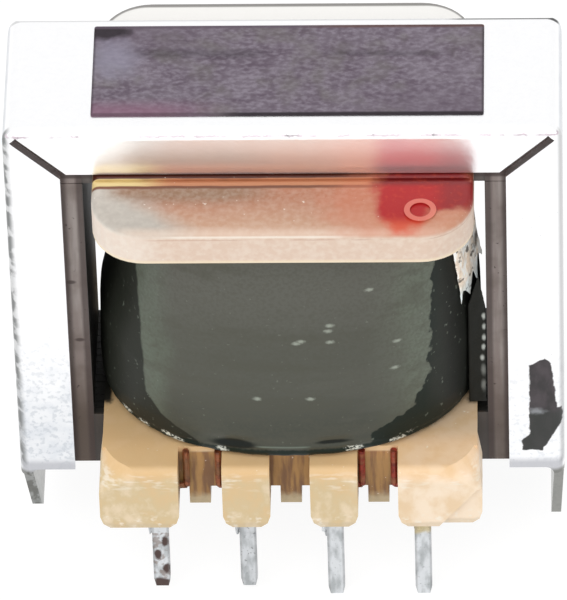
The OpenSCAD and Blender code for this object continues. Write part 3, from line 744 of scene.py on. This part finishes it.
def makeCoil(shape):
    mesh = bmesh.new()
    bmesh.ops.create_grid(mesh, x_segments=shape["around"], y_segments=shape["tall"], size=0.5)
    for v in mesh.verts:
        turn = 2 * math.pi * (v.co.x + 0.25)
        point = coilPoint(v.co.y + 0.5, turn)
        out = Vector((math.cos(turn), math.sin(turn), 0))
        v.co = (point + out * coilPush(shape, point)) * mm
    bmesh.ops.remove_doubles(mesh, verts=mesh.verts, dist=1e-6)
    bmesh.ops.recalc_face_normals(mesh, faces=mesh.faces)
    coil = addPiece("coil_tape", mesh, makeTape(coilLook))
    addWall(coil, shape["tapeThick"])
    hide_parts("outer_tape")


makeCoil(coilShape)
print("coil wound")


# loose clear film at the coil's right front corner, and its edge beside the core's leg, dark as
# painted shade
filmLook = {
    "white": colour(250, 249, 244),
    "cream": colour(232, 216, 198),
    "stain": colour(70, 60, 50),
    "blue": colour(206, 220, 222),
    "stainSpot": (10.75, -2.5, 15.4),
    "paintedShadow": colour(26, 27, 23),
    "bead": colour(196, 200, 194),
    "beads": ((11.09, -4.4, 11.48), (11.1, -4.4, 10.69), (11.09, -4.4, 9.86),
              (11.06, -4.4, 9.07), (10.98, -4.4, 8.26)),
    "faintBeads": ((11.04, -4.4, 7.29), (11.03, -4.4, 6.09)),
}
filmShape = {
    "columns": 40,
    "rows": 90,
    "from": -28,  # degrees round the coil
    "to": -6,
    "low": 12.6,
    "high": 18.4,
    "slant": 1.0,  # the lower edge rises by this to the right
    "teeth": 0.9,  # depth of the torn teeth
    "teethWaves": 9.1,
    "ragged": 0.5,
    "crinkle": 0.09,
    "stand": 0.12,  # off the coil, and how much more at the right
    "lift": 0.2,
    "pastBox": 0.12,  # how far it may stand out past the film it replaces
    "thick": 0.05,
}
selvageShape = {
    "columns": 10,
    "rows": 120,
    "low": 4.8,
    "tall": 9.8,
    "outer": 11.2,
    "inner": 10.2,
    "ragged": 0.08,
    "outerFrom": 12.2,  # it narrows to a tip above these heights
    "innerFrom": 12.3,
    "front": -4.32,
    "thick": 0.06,
}


def makeFilmFinish(look):
    film = Finish("clearFilm", Roughness=0.25, Specular_IOR_Level=0.6, Emission_Strength=0.3)
    crinkle = film.speckle(0.55, 4, (1, 1, 0.55))
    shade = film.mix(film.ramp(crinkle, 0.4, 0.6), look["white"], look["cream"])
    shade = film.mix(film.ramp(film.z, 14.6, 13.6) * 0.6, shade, look["blue"])
    stains = film.ramp(film.speckle(0.6, 3, (0.8, 0.8, 1), (4, 0, 8)), 0.58, 0.66)
    stains = film.larger(stains, film.spot(look["stainSpot"], (0.2, 2, 0.35), 0.5, 1.2, 0.3))
    shade = film.mix(stains * 0.85, shade, look["stain"])
    clear = 0.25 * film.ramp(crinkle, 0.56, 0.66)
    # the film glows faintly with its own colour: painted light
    film.set(Base_Color=shade, Emission_Color=shade, Alpha=1 - clear)
    film.relief(crinkle, 0.12)
    return film


def makeFilmTail(shape):
    # crinkled strip with a torn lower edge that stands off the coil
    mostRight = millimetres(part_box("film_tail"))[1][0] + shape["pastBox"]
    coilLow, coilTop = coilBox[0][2] / mm, coilBox[1][2] / mm
    mesh = bmesh.new()
    bmesh.ops.create_grid(mesh, x_segments=shape["columns"], y_segments=shape["rows"], size=0.5)
    for v in mesh.verts:
        along, up = v.co.x + 0.5, v.co.y + 0.5
        tear = shape["teeth"] * abs(math.sin(shape["teethWaves"] * along + 0.4))
        tear += shape["ragged"] * noise.noise(Vector((along * 7, 0, 3)))
        bottom = shape["low"] + tear + shape["slant"] * along
        z = bottom + up * (shape["high"] - bottom)
        turn = math.radians(shape["from"] + (shape["to"] - shape["from"]) * along)
        share = (z - coilLow) / (coilTop - coilLow)
        crinkle = noise.noise(Vector((along * 3.5, z * 0.8, 0)))
        crinkle += 0.5 * noise.noise(Vector((along * 9, z * 2.2, 5)))
        stand = shape["stand"] + shape["lift"] * along + shape["crinkle"] * crinkle
        point = coilPoint(share, turn, stand)
        point.x = min(point.x, mostRight)
        v.co = point * mm
    film = addPiece("film_strip", mesh, makeFilmFinish(filmLook))
    addWall(film, shape["thick"], 1)
    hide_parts("film_tail")


def makeSelvageFinish(look):
    film = Finish("shadedFilmEdge", Roughness=0.6, Specular_IOR_Level=0.2)
    # pale beads on a dark ground: painted light on painted shade
    beads = film.spots(look["beads"], (0.1, 1, 0.2), 0.7, 0.8, 0.3)
    faint = film.spots(look["faintBeads"], (0.12, 1, 0.35), 0.8, 0.8, 0.3)
    shade = film.mix(faint * 0.3, look["paintedShadow"], look["bead"])
    film.set(Base_Color=film.mix(beads * 0.8, shade, look["bead"]))
    film.relief(film.speckle(0.4, 3), 0.03)
    return film


def makeSelvage(shape):
    # narrow strip of film edge between the coil and the core's right leg, dark as painted shade,
    # with pale beads of painted light
    mesh = bmesh.new()
    bmesh.ops.create_grid(mesh, x_segments=shape["columns"], y_segments=shape["rows"], size=0.5)
    for v in mesh.verts:
        across, up = v.co.x + 0.5, v.co.y + 0.5
        z = shape["low"] + shape["tall"] * up
        outer = shape["outer"] - shape["ragged"] * abs(noise.noise(Vector((0, 0, z * 2.4))))
        outer -= 0.15 * max(0.0, z - shape["outerFrom"])
        inner = shape["inner"] + 0.27 * max(0.0, z - shape["innerFrom"])
        x = inner + (outer - inner) * across
        y = shape["front"] - 0.05 * noise.noise(Vector((x * 2, 0, z)))
        v.co = Vector((x, y, z)) * mm
    strip = addPiece("shaded_film_edge", mesh, makeSelvageFinish(filmLook))
    addWall(strip, shape["thick"])


makeFilmTail(filmShape)
makeSelvage(selvageShape)
print("film laid")


# pins and wires: dull tin, rust on the first pin, flux on the fourth
pinLook = {
    "tin": colour(216, 219, 222),
    "dull": colour(176, 180, 182),
    "dark": colour(112, 112, 112),
    "rust": colour(66, 44, 38),
    "rustPale": colour(120, 96, 82),
    "gold": colour(206, 186, 132),
    "rustSpots": ((-7.25, -9, -1.7), (-7.68, -9, -2.75), (-7.2, -9, -3.9)),
    "rustTip": (-7.5, -9, -5.15),
    "grid": 5,
}


def nearPin(tin, name):
    # 1 round one pin of the front row
    low, high = millimetres(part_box(name))
    return tin.within(tin.x, low[0] - 0.5, high[0] + 0.5, 0.2) * tin.ramp(tin.y, 0, -1)


def makePinTin(look):
    tin = Finish("pinTin", Metallic=0.6, Roughness=0.42)
    patches = tin.speckle(0.6, 3, (1, 1, 0.4))
    shade = tin.mix(tin.ramp(patches, 0.42, 0.66), look["tin"], look["dull"])
    dots = tin.ramp(tin.speckle(0.2, 3), 0.6, 0.68)
    # dots on the second pin, rust and grime on the first, flux on the fourth
    second = nearPin(tin, "pin_2")
    shade = tin.mix(dots * (0.35 + 0.4 * second), shade, look["dark"])
    shade = tin.mix(second * 0.14, shade, look["dark"])
    first = nearPin(tin, "pin_1")
    rust = first * tin.larger(
        tin.spots(look["rustSpots"], (0.22, 2, 0.38), 0.3, 1.1, 0.35),
        tin.spot(look["rustTip"], (0.55, 2, 0.5), 0.25, 0.9, 0.35),
    )
    grime = first * tin.ramp(tin.speckle(0.5, 3, shift=(0, 0, 4)), 0.5, 0.6)
    shade = tin.mix(grime * 0.6, shade, look["rustPale"])
    shade = tin.mix(rust, shade, look["rust"])
    flux = nearPin(tin, "pin_4") * tin.ramp(tin.z + patches, -0.75, -0.35)
    shade = tin.mix(flux * 0.8, shade, look["gold"])
    # both edges of every pin, by the distance from the middle of the nearest one
    fromMiddle = abs(abs(abs(tin.x) - look["grid"]) - look["grid"] / 2)
    rims = tin.within(fromMiddle, 0.36, 0.6, 0.05)
    shade = tin.mix(rims * 0.35, shade, look["dark"])
    tin.set(
        Base_Color=shade,
        Metallic=0.6 - 0.55 * tin.larger(rust, flux),
        Roughness=0.36 + 0.2 * patches,
    )
    tin.relief(patches, 0.04)
    return tin


# small lumps of solder and flux at the tops of the front pins
burrs = {
    "solder_burr_2": {"place": (-3.04, -8.85, -0.5), "halves": (0.2, 0.14, 0.72), "shift": 1.0},
    "solder_burr_3": {"place": (1.95, -8.85, -0.55), "halves": (0.2, 0.14, 0.78), "shift": 4.0},
    "solder_burr_1": {"place": (-8.0, -8.85, -0.5), "halves": (0.17, 0.12, 0.7), "shift": 9.0},
    "flux_blob_4": {"place": (7.45, -8.95, -0.45), "halves": (0.42, 0.24, 0.5), "shift": 6.0},
}


def makeBurr(name, shape, finish):
    mesh = bmesh.new()
    bmesh.ops.create_icosphere(mesh, subdivisions=4, radius=1.0)
    for v in mesh.verts:
        swell = 1 + 0.45 * noise.noise(v.co * 1.7 + Vector((shape["shift"], 0, 0)))
        v.co = Vector([(p + h * c * swell) * mm
                       for p, h, c in zip(shape["place"], shape["halves"], v.co)])
    addPiece(name, mesh, finish)


wireLook = {
    "leadCopper": {
        "deep": colour(98, 50, 28),
        "bright": colour(160, 92, 56),
        "worn": colour(128, 92, 58),
        "wires": (1, 2, 5, 6),
    },
    "leadRed": {
        "deep": colour(110, 34, 24),
        "bright": colour(160, 56, 38),
        "worn": colour(150, 98, 64),
        "wires": (3, 4, 7, 8),
    },
}


def makeWireFinish(name, look):
    wire = Finish(name, Metallic=0.2, Roughness=0.5)
    bands = wire.speckle(0.35, 3)
    shade = wire.mix(wire.ramp(bands, 0.35, 0.65), look["deep"], look["bright"])
    bare = wire.ramp(wire.speckle(0.8, 3, (0.2, 0.2, 1), (0, 0, 3)), 0.46, 0.58)
    wire.set(Base_Color=wire.mix(bare * 0.7, shade, look["worn"]))
    wire.relief(bands, 0.02)
    return wire


pinTin = makePinTin(pinLook)
dress(pinTin, *named("pin_"))
for name, shape in burrs.items():
    makeBurr(name, shape, pinTin)
for name, look in wireLook.items():
    dress(makeWireFinish(name, look), *[f"lead_wire_{n}" for n in look["wires"]])
print("pins and wires dressed")


# label: worn violet film with dark streaks and a worn corner
labelLook = {
    "ink": colour(116, 106, 117),
    "deep": colour(94, 81, 94),
    "pale": colour(150, 141, 153),
    "lavender": colour(150, 146, 164),
    "plum": colour(140, 98, 120),
    "black": colour(34, 26, 32),
    "brown": colour(92, 62, 56),
    "olive": colour(110, 108, 98),
    "litSpot": (-9.5, 1.2),
}


def makeLabelFilm(look):
    film = Finish("labelFilm", Roughness=0.55, Specular_IOR_Level=0.25)
    x, y = film.x, film.y
    low, high = millimetres(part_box("top_label"))
    grain = film.speckle(0.3, 4, (0.8, 1.2, 1))
    patch = film.speckle(1.0, 4, (0.6, 1.2, 1), (2, 5, 0))
    shade = film.mix(film.ramp(patch, 0.3, 0.7), look["ink"], look["deep"])
    shade = film.mix(film.ramp(grain, 0.35, 0.7) * 0.6, shade, look["pale"])
    shade = film.mix(film.ramp(film.speckle(0.16, 2), 0.5, 0.3) * 0.3, shade, look["deep"])
    stain = film.ramp(film.speckle(1.8, 3, shift=(8, 0, 0)), 0.45, 0.7)
    shade = film.mix(stain * 0.35, shade, look["olive"])
    duller = film.larger(film.ramp(x, 2, 8) * film.ramp(y, -0.5, -3),
                         film.ramp(x, -3, -7) * film.ramp(y, 1, 3))
    shade = film.mix(duller * 0.35, shade, look["deep"])
    # painted light makes an area at the left lighter; plum along the lower left edge
    pale = film.spot((*look["litSpot"], low[2]), (1.3, 1.5, 5), 0.6, 0.9)
    shade = film.mix(pale * 0.6, shade, look["lavender"])
    plum = film.ramp(x, -2, -8) * film.ramp(y, low[1] + 1.6, low[1] + 0.3)
    shade = film.mix(plum * 0.65, shade, look["plum"])
    # two dark streaks, and the worn black corner
    sway = (film.speckle(1.4, 3, (0.4, 1, 1)) - 0.5) * 0.9
    leftStreak = film.within(x, -8.3, -1.2, 1.2) * film.within(y + sway * 0.7, 1.35, 1.75, 0.4)
    rightStreak = film.within(x, 2.6, 8.8, 1.2) * film.within(y + sway * 0.4, 1.4, 1.65, 0.3)
    shade = film.mix(film.larger(leftStreak, rightStreak) * 0.6, shade, look["black"])
    corner = film.spot((low[0] + 0.6, high[1] - 0.3, low[2]), (1.35, 0.75, 5), 0.35, 0.9, 0.6)
    shade = film.mix(corner * 0.9, shade, look["black"])
    # dark edges in front and at the ends, with painted shadow along the front edge from the middle
    # to the right; brown along the back
    edge = film.larger(
        film.ramp(y, low[1] + 0.28, low[1] + 0.12) * (0.45 + 0.5 * film.ramp(x, -4, -2)),
        film.ramp(x, low[0] + 0.18, low[0] + 0.06) * 0.5,
        film.ramp(x, high[0] - 0.18, high[0] - 0.06) * 0.6,
    )
    shade = film.mix(edge, shade, look["black"])
    back = film.ramp(y, high[1] - 0.3, high[1] - 0.12)
    backShade = film.mix(film.ramp(x, 0, 4), look["deep"], look["brown"])
    shade = film.mix(back * 0.8, shade, backShade)
    film.set(Base_Color=shade, Roughness=0.5 + 0.15 * grain)
    film.relief(patch + grain * 0.4, 0.01)
    return film


dress(makeLabelFilm(labelLook), "top_label")
print("label dressed")


# inside the coil: copper turns, amber tape between them, and a paper wedge
innerLook = {
    "copperDark": colour(120, 58, 30),
    "copper": colour(206, 122, 76),
    "turnPitch": 0.14,
    "amber": colour(206, 184, 110),
    "amberPale": colour(228, 210, 150),
    "paper": colour(120, 92, 60),
    "paperPale": colour(172, 142, 102),
}


def makeWoundCopper(look):
    copper = Finish("woundCopper", Metallic=0.85, Roughness=0.35)
    turns = copper.add("ShaderNodeMath", {"operation": "SINE"},
                       {0: copper.z * (2 * math.pi / look["turnPitch"])})
    copper.set(Base_Color=copper.mix(0.5 + 0.5 * turns, look["copperDark"], look["copper"]))
    copper.relief(turns, 0.03)
    return copper


def makeInnerTape(look):
    tape = Finish("innerTape", Roughness=0.3)
    tape.set(Base_Color=tape.mix(tape.speckle(1.2, 3), look["amber"], look["amberPale"]))
    tape.relief(tape.speckle(0.8, 3), 0.02)
    return tape


def makeWedgePaper(look):
    paper = Finish("wedgePaper", Roughness=0.8)
    fibres = paper.speckle(0.5, 5, (1, 1, 0.2))
    paper.set(Base_Color=paper.mix(fibres, look["paper"], look["paperPale"]))
    paper.relief(fibres, 0.03)
    return paper


dress(makeWoundCopper(innerLook), "primary_winding", "secondary_winding")
dress(makeInnerTape(innerLook), "inner_tape")
dress(makeWedgePaper(innerLook), "core_wedge")
print("inner pieces dressed")


# pale floor, one soft lamp, a pale sky and the camera
studio = {
    "floorWidth": 1.2,
    "floorPaint": colour(244, 244, 244),
    "floorGlow": 1.12,
    "glowShare": 0.8,  # the rest of the floor takes the part's shadow
    "skyStrength": 0.72,
    "lampPlace": (-0.15, -0.45, 0.6),
    "lampTarget": (0, 0, 0.01),
    "lampWatts": 2.8,
    "lampSize": 0.7,
}
cameraView = {
    # degrees, metres and the lens in millimetres
    "elevation": 43.67,
    "azimuth": 2.36,
    "roll": 1.93,
    "distance": 0.579,
    "lens": 611.8,
    "target": (0, -0.00015, 0.013),
    # how far the aim lies from the target, in millimetres
    "right": -0.376,
    "up": -2.982,
}


def makeFloor(settings):
    mesh = bmesh.new()
    bmesh.ops.create_grid(mesh, x_segments=2, y_segments=2, size=settings["floorWidth"] / 2)
    bmesh.ops.translate(mesh, verts=mesh.verts, vec=(0, 0, cadBox[0][2]))
    paint = Finish("floorPaint", Base_Color=settings["floorPaint"], Roughness=0.9)
    white = paint.add("ShaderNodeEmission", None, {"Strength": settings["floorGlow"]})
    seen, mirrored, through = paint.rays()
    share = paint.larger(seen * settings["glowShare"], mirrored, through)
    blend = paint.add("ShaderNodeMixShader", None, {0: share, 1: paint.surface, 2: white})
    paint.feed(paint.end.inputs[0], blend)
    floor = addObject("floor", mesh, paint)


def makeSky(settings):
    world = bpy.data.worlds.new("studioSky")
    world.use_nodes = True
    bpy.context.scene.world = world
    sky = NodeTree(world.node_tree)
    soft = sky.add("ShaderNodeBackground", None,
                   {"Color": whiteLight, "Strength": settings["skyStrength"]})
    plain = sky.add("ShaderNodeBackground", None, {"Color": whiteLight, "Strength": 1.0})
    share = sky.larger(*sky.rays())
    blend = sky.add("ShaderNodeMixShader", None, {0: share, 1: soft, 2: plain})
    sky.add("ShaderNodeOutputWorld", None, {0: blend})


def addLamp(settings):
    lamp = bpy.data.lights.new("keyLamp", "AREA")
    lamp.energy = settings["lampWatts"]
    lamp.size = settings["lampSize"]
    holder = bpy.data.objects.new("keyLamp", lamp)
    start, target = Vector(settings["lampPlace"]), Vector(settings["lampTarget"])
    holder.location = start
    holder.rotation_euler = (target - start).to_track_quat("-Z", "Y").to_euler()
    bpy.context.scene.collection.objects.link(holder)


def addCamera(view):
    e, a, r = (math.radians(view[k]) for k in ("elevation", "azimuth", "roll"))
    ahead = -Vector((math.sin(a) * math.cos(e), -math.cos(a) * math.cos(e), math.sin(e)))
    right = Vector((math.cos(a), math.sin(a), 0))
    up = right.cross(ahead)
    aim = Vector(view["target"]) + right * view["right"] * mm + up * view["up"] * mm
    across = right * math.cos(r) - up * math.sin(r)
    above = right * math.sin(r) + up * math.cos(r)
    turned = Matrix((across, above, -ahead)).transposed().to_4x4()
    camera = bpy.data.objects.new("camera", bpy.data.cameras.new("camera"))
    camera.data.lens = view["lens"]
    camera.data.sensor_width = 36
    camera.data.clip_end = 10
    camera.matrix_world = Matrix.Translation(aim - ahead * view["distance"]) @ turned
    bpy.context.scene.collection.objects.link(camera)
    bpy.context.scene.camera = camera


makeFloor(studio)
makeSky(studio)
addLamp(studio)
addCamera(cameraView)
bpy.context.scene.view_settings.view_transform = "Standard"
print("studio ready")
